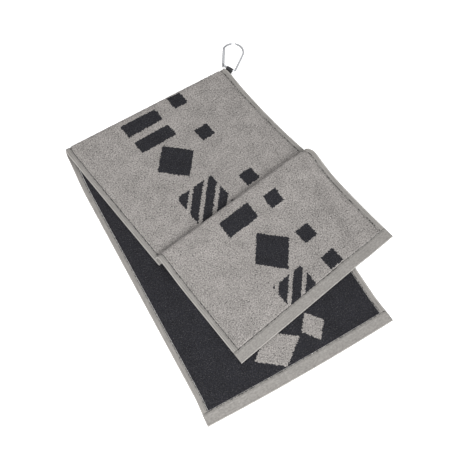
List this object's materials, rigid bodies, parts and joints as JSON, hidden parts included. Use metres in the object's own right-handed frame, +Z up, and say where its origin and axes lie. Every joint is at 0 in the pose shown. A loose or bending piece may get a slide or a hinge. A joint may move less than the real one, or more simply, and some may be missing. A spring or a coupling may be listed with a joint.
{
  "type": "golf towel",
  "caption": "Long terry towel lying folded, hemmed all round, with a webbing loop at mid-length and a spring-gate carabiner to hang it by.",
  "frame": {"origin": "middle of the bounding box in plan, on the surface that the towel lies on", "axes": "+Y from the lower end hem to the main fold, +X along the lower end hem towards the loop's side, +Z up"},
  "size_m": [0.4034, 0.582, 0.0176],
  "materials": {
    "terry": "two-tone jacquard cotton terry loops, grey on the front and charcoal on the reverse",
    "hem": "flat-woven grey cotton, turned and stitched",
    "thread": "light grey sewing thread in lockstitch",
    "webbing": "black narrow polyester webbing",
    "polished_metal": "polished silver aluminium",
    "spring_steel": "drawn steel wire"
  },
  "bodies": {
    "towel": {"terry_cloth": "terry", "left_side_hem": "hem", "right_side_hem": "hem", "under_end_hem": "hem", "upper_end_hem": "hem", "left_needle_thread": "thread", "left_bobbin_thread": "thread", "right_needle_thread": "thread", "right_bobbin_thread": "thread", "under_end_needle_thread": "thread", "under_end_bobbin_thread": "thread", "upper_end_needle_thread": "thread", "upper_end_bobbin_thread": "thread", "hanging_loop": "webbing", "loop_bar_tack": "webbing"},
    "carabiner": {"carabiner_body": "polished_metal"},
    "gate": {"carabiner_gate": "polished_metal", "gate_pivot_rivet": "polished_metal", "gate_latch_pin": "polished_metal", "gate_spring": "spring_steel"},
    "plunger": {"spring_plunger": "spring_steel"}
  },
  "joints": [
    {"name": "carabiner_swing", "type": "hinge", "parent": "towel", "child": "carabiner", "pos_m": [0.12992, 0.24069, 0.0062], "axis": [0.4462, -0.8949, 0], "range_deg": [0, 125]},
    {"name": "gate_hinge", "type": "hinge", "parent": "carabiner", "child": "gate", "pos_m": [0.12434, 0.25188, 0.0062], "axis": [-0.0665, -0.0332, -0.9972], "range_deg": [0, 25], "stiffness_Nm_per_rad": 0.05, "springref_deg": -11.46},
    {"name": "plunger_slide", "type": "slide", "parent": "gate", "child": "plunger", "axis": [0.5144, 0.8553, -0.0628], "range_m": [0, 0.0004625], "deforming": ["gate_spring"]}
  ],
  "couplings": [
    {"joint": "gate_hinge", "follows": "plunger_slide", "rad_per_m": 943.39}
  ]
}
